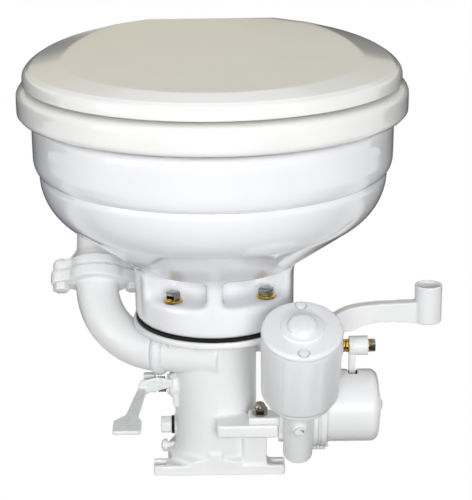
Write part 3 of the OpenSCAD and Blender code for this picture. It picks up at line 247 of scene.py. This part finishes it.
def vary_gloss(tree, shader, factor, least, most):
    """The finish's roughness follows a pattern."""
    dull = add(tree, "ShaderNodeMapRange", {"Value": factor, "To Min": least, "To Max": most})
    tree.links.new(dull.outputs[0], shader.inputs["Roughness"])


def relief(tree, shader, height, strength, depth, under=None):
    """The finish's surface rises and falls with a pattern, over another relief where one is given."""
    feeds = {"Height": height, "Strength": strength, "Distance": depth}
    if under is not None:
        feeds["Normal"] = under
    skin = add(tree, "ShaderNodeBump", feeds)
    tree.links.new(skin.outputs[0], shader.inputs["Normal"])
    return skin.outputs[0]


# Vitreous china: fired glaze, clear and hard, with the slow ripple of a poured glaze (16 mm) under a sharp gloss
china, tree, shader, place = start("vitreous_china_glazed", Roughness=0.05, IOR=1.52, Coat_Weight=0.35,
                                   Coat_Roughness=0.03)
drift(tree, shader, noise(tree, place, 90), "#F3F4F6", "#EFF0F4")
relief(tree, shader, noise(tree, place, 16, 1.0, 0.4), 0.10, 0.0006)

# Sand-cast iron under thick white enamel: the sand's grain (1.6 mm) and slow lumps (9 mm) show softly through the gloss
cast_enamel, tree, shader, place = start("white_enamel_on_sand_cast_iron", Roughness=0.3, IOR=1.5, Coat_Weight=0.25,
                                         Coat_Roughness=0.12)
lumps = noise(tree, place, 9)
drift(tree, shader, noise(tree, place, 45, 3.0), "#F4F5F5", "#EBECED")
vary_gloss(tree, shader, lumps, 0.24, 0.4)
relief(tree, shader, noise(tree, place, 1.6), 0.18, 0.0003, under=relief(tree, shader, lumps, 0.25, 0.0012))

# Baked enamel on moulded wood: smooth and warm white, flowed level, with a faint long ripple of the wood (40 mm)
baked_enamel, tree, shader, place = start("baked_enamel_on_moulded_wood", Roughness=0.1, IOR=1.5, Coat_Weight=0.4,
                                          Coat_Roughness=0.05)
level = noise(tree, place, 40, 1.0)
drift(tree, shader, level, "#F4F4F2", "#F0F0EE")
relief(tree, shader, level, 0.12, 0.0006)

# Sprayed enamel on drawn steel: even satin gloss with the fine dimples of spray (0.8 mm, drawn at 1.4 mm so they show)
motor_paint, tree, shader, place = start("sprayed_white_enamel_on_steel", Roughness=0.3, IOR=1.5, Coat_Weight=0.2,
                                         Coat_Roughness=0.15)
drift(tree, shader, noise(tree, place, 30), "#F0F1F3", "#E8E9EC")
relief(tree, shader, cells(tree, place, 1.4), 0.10, 0.0002)

# Cast pedal, painted light grey and scuffed by shoes: duller, with slightly darker rubbed patches (6 mm)
pedal_paint, tree, shader, place = start("scuffed_light_grey_paint_on_iron", Roughness=0.42, IOR=1.5)
scuffs = noise(tree, place, 6, 5.0, 0.65)
ramp = add(tree, "ShaderNodeValToRGB", {"Fac": scuffs})
for stop, position, code in ((0, 0.36, "#DDE0E0"), (1, 0.56, "#E8EAEA")):
    ramp.color_ramp.elements[stop].position = position
    ramp.color_ramp.elements[stop].color = paint(code)
tree.links.new(ramp.outputs[0], shader.inputs["Base Color"])
relief(tree, shader, scuffs, 0.16, 0.0004)

# Small pieces painted over in place: the brush leaves its marks (3 mm) and a duller white than the castings
painted_over, tree, shader, place = start("brushed_over_white_enamel", Roughness=0.32, IOR=1.5)
brush = noise(tree, place, 3, 3.0)
drift(tree, shader, brush, "#F2F3F4", "#E2E4E6")
relief(tree, shader, brush, 0.3, 0.0004)


def metal(name, code, dark, rough, streak_mm, depth):
    """Worked bare metal: its colour drifts a little, and its machining lines show as a fine bump."""
    material, tree, shader, place = start(name, Metallic=1.0, Roughness=rough)
    streaks = noise(tree, place, streak_mm, 4.0, 0.6)
    drift(tree, shader, streaks, code, dark)
    vary_gloss(tree, shader, streaks, rough * 0.7, rough * 1.4)
    relief(tree, shader, streaks, 0.25, depth)
    return material


# Turned steel of shafts and plates: light grey, half dull from the tool's fine marks (0.8 mm)
turned_steel = metal("turned_steel", "#C9C8C4", "#9C9B97", 0.28, 0.8, 0.0001)
# Polished stainless bolts: sharp gloss, so that each facet of a head takes the light or the dark beside it
bolt_steel = metal("polished_stainless_bolt", "#B4B4B2", "#807F7C", 0.12, 1.2, 0.0001)
# Cap nut gone brownish with age, with soft stains (1.6 mm)
case_nut_steel = metal("aged_stainless_nut", "#BDB4A8", "#857C70", 0.22, 1.6, 0.0002)
# Brass turned and wiped, satin and clearly yellow
cast_brass = metal("satin_brass", "#EBCB63", "#CFA740", 0.2, 1.0, 0.0001)
# Chrome plate on the hinge: the brightest metal here, almost a mirror
hinge_plate = metal("polished_chrome_plate", "#D9DADC", "#C4C5C8", 0.10, 5.0, 0.0001)
# Copper wire of the motor's winding under varnish: dull red brown, with the wires' ridges (0.9 mm)
winding = metal("varnished_copper_winding", "#9A5A2C", "#6A3A18", 0.4, 0.9, 0.0003)

# Nitrile rubber: black, dull, with moulded grain (0.9 mm)
rubber, tree, shader, place = start("black_nitrile_rubber", Roughness=0.55, IOR=1.5)
pores = noise(tree, place, 0.9, 3.0)
drift(tree, shader, pores, "#050505", "#101011")
relief(tree, shader, pores, 0.2, 0.0002)

# White moulded rubber buffers: dull, slightly yellowed in patches (2 mm)
buffer_rubber, tree, shader, place = start("white_moulded_rubber", Roughness=0.6, IOR=1.5)
drift(tree, shader, noise(tree, place, 2, 3.0), "#D9D8D2", "#C9C7BE")

# Cup leather: oiled, brown, with grain (1.1 mm)
leather, tree, shader, place = start("oiled_cup_leather", Roughness=0.5, IOR=1.45)
hide = cells(tree, place, 1.1)
drift(tree, shader, hide, "#3A2413", "#6B4526")
relief(tree, shader, hide, 0.4, 0.0003)

finish_of_slot = {
    "china": china, "white_enamel": cast_enamel, "seat_enamel": baked_enamel, "motor_paint": motor_paint,
    "pedal_paint": pedal_paint, "painted_fastener": painted_over, "steel": turned_steel, "dark_steel": bolt_steel,
    "brass": cast_brass, "rubber": rubber, "leather": leather, "hinge_metal": hinge_plate, "bumper": buffer_rubber,
    "copper_winding": winding,
}
slot_of_node = {s["node"]: s["material_slot"] for s in frame["record"]["subparts"]}
finish_of_node = {n: finish_of_slot[s] for n, s in slot_of_node.items()}
finish_of_node["case_nut"] = case_nut_steel
# these were painted over with the castings they lie between, under or on
for name in ("flange_gasket", "cover_gasket", "bowl_nuts", "pedal_packing_nut"):
    finish_of_node[name] = painted_over
for name, obj in nodes.items():
    obj.data.materials.clear()
    obj.data.materials.append(finish_of_node[name])

# ---------- pieces ----------


def stand_in(piece, name, finish=None):
    """The piece stands for a CAD node: it rides on its body and takes its finish."""
    piece.data.materials.clear()
    piece.data.materials.append(finish or finish_of_node[name])
    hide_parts(name)
    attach(piece, body_of_node[name])


def shape_with(piece, kind, **settings):
    """Adds a modifier to the piece and applies it."""
    only(piece)
    modifier = piece.modifiers.new(kind.lower(), kind)
    for name, value in settings.items():
        setattr(modifier, name, value)
    bpy.ops.object.modifier_apply(modifier=modifier.name)


def merged_copy(node, name):
    """A copy of a CAD node's mesh with its loose triangles joined."""
    piece = nodes[node].copy()
    piece.data = nodes[node].data.copy()
    piece.name = name
    bpy.context.collection.objects.link(piece)
    only(piece)
    bpy.ops.object.mode_set(mode="EDIT")
    bpy.ops.mesh.select_all(action="SELECT")
    bpy.ops.mesh.remove_doubles(threshold=0.00001)
    bpy.ops.object.mode_set(mode="OBJECT")
    return piece


def cast_skin(node, voxel, rounds, name):
    """The node's own form with every edge flowed round, as a sand casting comes from the mould."""
    piece = merged_copy(node, name)
    shape_with(piece, "REMESH", mode="VOXEL", voxel_size=voxel, adaptivity=0.0)
    shape_with(piece, "SMOOTH", factor=0.5, iterations=rounds)
    bpy.ops.object.shade_smooth()
    stand_in(piece, node)
    return piece


def eased(node, width, name):
    """The node's own form with its edges broken, as turned and milled pieces have them."""
    piece = merged_copy(node, name)
    bpy.ops.object.mode_set(mode="EDIT")
    bpy.ops.mesh.select_all(action="SELECT")
    bpy.ops.mesh.dissolve_limited(angle_limit=math.radians(0.6))
    bpy.ops.object.mode_set(mode="OBJECT")
    shape_with(piece, "BEVEL", width=width, segments=2, limit_method="ANGLE", angle_limit=math.radians(38),
               use_clamp_overlap=node not in ("motor_can", "motor_end_cap"))
    bpy.ops.object.shade_smooth_by_angle(angle=math.radians(32))
    stand_in(piece, node)
    return piece


def turn_each(piece, degrees):
    """Turns the four bolts, one in each quarter, on their own axes."""
    turned = Matrix.Rotation(math.radians(degrees), 4, "Z")
    for side, end in ((-1, -1), (-1, 1), (1, -1), (1, 1)):
        own = [v for v in piece.data.vertices if v.co.x * side > 0 and v.co.y * end > 0]
        xs, ys = [v.co.x for v in own], [v.co.y for v in own]
        axis = Vector(((min(xs) + max(xs)) / 2, (min(ys) + max(ys)) / 2, 0))
        turn = Matrix.Translation(axis) @ turned @ Matrix.Translation(-axis)
        for v in own:
            v.co = turn @ v.co


def ease_below(piece, height, blend, rounds):
    """Rounds the piece further where it lies below a height."""
    group = piece.vertex_groups.new(name="low")
    for v in piece.data.vertices:
        group.add([v.index], max(0.0, min(1.0, (height - v.co.z) / blend)), "REPLACE")
    shape_with(piece, "SMOOTH", factor=0.5, iterations=rounds, vertex_group="low")


# the wall stands out this far again below the crease; the flushing inlet's boss behind keeps its own form
CREASE_FLANK = 0.0008
INLET_HALF = 0.018


def band_step(piece, low, high, inner, outer):
    """Cuts level rings round the bowl's wall and lays them on the cove under its band, which ends in a crease."""
    only(piece)
    bpy.ops.object.mode_set(mode="EDIT")
    # the rings lie closest at the crease, which is at 0, and reach past the band's lower edge, which is at 1
    for t in (-0.4, -0.3, -0.15, -0.05, 0.0, 0.02, 0.06, 0.13, 0.25, 0.4, 0.6, 0.8, 1.0, 1.3, 1.6):
        bpy.ops.mesh.select_all(action="SELECT")
        bpy.ops.mesh.bisect(plane_co=(0, 0, low + (high - low) * t), plane_no=(0, 0, 1))
    bpy.ops.object.mode_set(mode="OBJECT")
    for v in piece.data.vertices:
        t, r = (v.co.z - low) / (high - low), math.hypot(v.co.x, v.co.y)
        on_wall = -0.45 < t < 1.63 and inner - 0.002 < r < outer + 0.0006
        at_inlet = v.co.y > 0 and abs(v.co.x) < INLET_HALF
        if on_wall and not at_inlet:
            if t > 0:
                cove = inner + (outer - inner) * math.sqrt(max(0.0, 1 - (1 - min(t, 1.0)) ** 2))
            else:
                cove = inner + CREASE_FLANK * min(1.0, -t / 0.3)
            v.co.x, v.co.y = v.co.x * cove / r, v.co.y * cove / r


cast_skin("pump_base", 0.00135, 6, "pump_casting")
bowl = cast_skin("bowl", 0.0028, 4, "china_bowl")
ease_below(bowl, 0.198, 0.006, 14)
band_step(bowl, 0.3025, 0.3175, 0.1614, 0.1679)
cast_skin("discharge_elbow", 0.0012, 5, "elbow_casting")
cast_skin("discharge_neck", 0.0013, 4, "neck_casting")
cast_skin("lever_arm", 0.0010, 5, "lever_casting")
cast_skin("gear_housing", 0.0011, 5, "gear_case_casting")
cast_skin("gear_cover", 0.0012, 6, "gear_cover_casting")
cast_skin("foot_pedal", 0.0008, 4, "pedal_casting")
for node, width in (("motor_can", 0.7), ("motor_end_cap", 0.5), ("bowl_bolts", 0.7), ("bowl_washers", 0.25),
                    ("bowl_nuts", 0.5), ("flange_bolts", 0.5), ("case_nut", 0.3), ("grease_plug", 0.4),
                    ("drain_plug", 0.8), ("vent_plug", 0.4), ("link_bolt", 0.5), ("link_washers", 0.2),
                    ("hinge_posts", 0.8), ("hinge_bolts", 0.5), ("cover_screws", 0.3), ("motor_bolts", 0.3),
                    ("pedal_packing_nut", 0.5), ("lever_packing_nut", 0.5), ("elbow_gland", 0.5),
                    ("water_inlet", 0.4), ("flush_inlet", 0.4), ("connecting_rod", 0.6), ("seat_straps", 0.5),
                    ("lid_straps", 0.5), ("seat_bumpers", 0.5), ("lid_bumpers", 0.4)):
    piece = eased(node, width / 1000, node + "_finished")
    if node == "bowl_bolts":
        # a corner of each head faces forward, and the bolts end level with their nuts
        turn_each(piece, 30)
        nuts_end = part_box("bowl_nuts")[0][2]
        for v in piece.data.vertices:
            v.co.z = max(v.co.z, nuts_end)


# seat and lid are cut straight behind, for the hinge: how deep the cut's corners are, how wide, and how much
# longer the ellipse behind would be than the cut leaves it
CORNER_DEPTH = 0.026
CORNER_WIDTH = 0.032
LONGER_BEHIND = 1.22


def outline(half, front, back, count):
    """Points round the seat's or the lid's edge: an ellipse in front, longer behind, cut straight at the hinge."""
    long, cut = back * LONGER_BEHIND, back - CORNER_DEPTH
    side = half * math.sqrt(1 - (cut / long) ** 2)
    spots = []
    for i in range(count):
        t = 2 * math.pi * i / count
        x, y = half * math.sin(t), -math.cos(t)
        y = y * (front if y < 0 else long)
        if y > cut:
            # the corner's slant and the straight back edge take the points that lie past them
            lean = (side - abs(x)) / CORNER_WIDTH
            y = min(y, cut + max(0.0, min(1.0, lean)) * CORNER_DEPTH)
        spots.append((x, y))
    return spots


def lay_up(name, levels, count=180):
    """A closed form laid up from outlines: each level is (half width, front, back, height)."""
    deselect()
    bpy.ops.mesh.primitive_circle_add(vertices=count, radius=1, fill_type="NGON")
    piece = new_piece(name)
    bpy.ops.object.mode_set(mode="EDIT")
    for i, (half, front, back, height) in enumerate(levels):
        if i:
            bpy.ops.mesh.extrude_region_move(TRANSFORM_OT_translate={"value": (0, 0, 0.001)})
        bpy.ops.object.mode_set(mode="OBJECT")
        moved = sorted((v for v in piece.data.vertices if v.select), key=lambda v: v.index)
        for v, (x, y) in zip(moved, outline(half, front, back, count)):
            v.co = (x, y, height)
        bpy.ops.object.mode_set(mode="EDIT")
    bpy.ops.mesh.select_all(action="SELECT")
    bpy.ops.mesh.normals_make_consistent(inside=False)
    bpy.ops.object.mode_set(mode="OBJECT")
    return piece


low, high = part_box("lid")
half, front, back = high[0], -low[1], high[1]
bottom, top = low[2], high[2]
bevel_rise = 0.006
under_edge = 0.0015
shoulder = 0.0065


def bevel_height(t):
    """Share of the bevel's rise at a share of its width: straight up to 0.9, then turning level into the flat top."""
    if t <= 0.9:
        return t
    over = (t - 0.9) / 0.18
    return 0.9 + 0.1 * (2 * over - over * over) * 0.9 + 0.01 * over


levels = [(half - 0.0045, front - 0.0045, back - 0.003, bottom)]
# the small round under the lid's edge
for k in range(1, 7):
    a = math.radians(15 * k)
    inset = 1 - math.sin(a)
    levels.append((half - under_edge * inset, front - under_edge * inset, back - 0.001 * inset,
                   bottom + under_edge * (1 - math.cos(a))))
# the upright side, and the shoulder over it
levels.append((half - 0.0003, front - 0.0003, back - 0.0002, top - bevel_rise - shoulder))
for k in range(1, 9):
    a = math.radians(9.5 * k)
    inset = 1 - math.cos(a)
    levels.append((half - 0.0005 - 0.006 * inset, front - 0.0005 - 0.006 * inset, back - 0.0004 - 0.003 * inset,
                   top - bevel_rise - shoulder + 0.0062 * math.sin(a)))
# the broad bevel: a straight slope that turns into the flat top within 3 mm
for t in (0.02, 0.1, 0.3, 0.5, 0.7, 0.85, 0.9, 0.94, 0.97, 1.0, 1.03, 1.08):
    levels.append((half - 0.0055 - 0.0315 * t, front - 0.0055 - 0.0165 * t, back - 0.0035 - 0.0035 * t,
                   top - bevel_rise + 0.0004 + (bevel_rise - 0.0004) * bevel_height(t)))
# the flat top
for k in range(1, 4):
    levels.append((half - 0.0395 - 0.012 * k, front - 0.0235 - 0.012 * k, back - 0.0073 - 0.006 * k, top))
lid = lay_up("lid_moulding", levels)
only(lid)
bpy.ops.object.shade_smooth_by_angle(angle=math.radians(40))
stand_in(lid, "lid")

# the seat is a ring of one moulded section, from its outline in to the oval hole
low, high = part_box("seat_ring")
half, front, back = high[0], -low[1], high[1]
bottom, top = low[2], high[2]
around, across = 180, 40
deselect()
bpy.ops.mesh.primitive_torus_add(major_segments=around, minor_segments=across, major_radius=0.15, minor_radius=0.02)
seat = new_piece("seat_moulding")
outer = outline(half, front, back, around)
# section of the ring, 1 at its outer side and -1 at its inner side; the top edges are rounder than the lower ones
section = []
for k in range(across):
    a = 2 * math.pi * k / across
    x, z = math.cos(a), math.sin(a)
    n = 5.0 if z > 0 else 9.0
    r = (abs(x) ** n + abs(z) ** n) ** (-1 / n)
    section.append((x * r, z * r))
hole_half, hole_long, hole_shift = 0.119, 0.126, -0.006
lip_depth = 0.004
for v in seat.data.vertices:
    i = round(math.degrees(math.atan2(v.co.x, -v.co.y)) * around / 360) % around
    a = math.atan2(v.co.z, math.hypot(v.co.x, v.co.y) - 0.15)
    k = round(math.degrees(a) * across / 360) % across
    s, z = section[k]
    t = 2 * math.pi * i / around
    ox, oy = outer[i]
    ix, iy = hole_half * math.sin(t), -hole_long * math.cos(t) + hole_shift
    f = (1 + s) / 2
    crown = 0.0015 * (1 - abs(2 * f - 1)) if z > 0 else 0.0
    # under its outer edge the seat reaches down over the rim
    lip = lip_depth * max(0.0, min(1.0, (f - 0.76) / 0.1)) * (z < 0)
    height = (top + bottom) / 2 + (top - bottom) / 2 * z - 0.0015 * (z > 0) + crown - lip
    v.co = (ix + (ox - ix) * f, iy + (oy - iy) * f, height)
only(seat)
bpy.ops.object.shade_smooth()
stand_in(seat, "seat_ring")
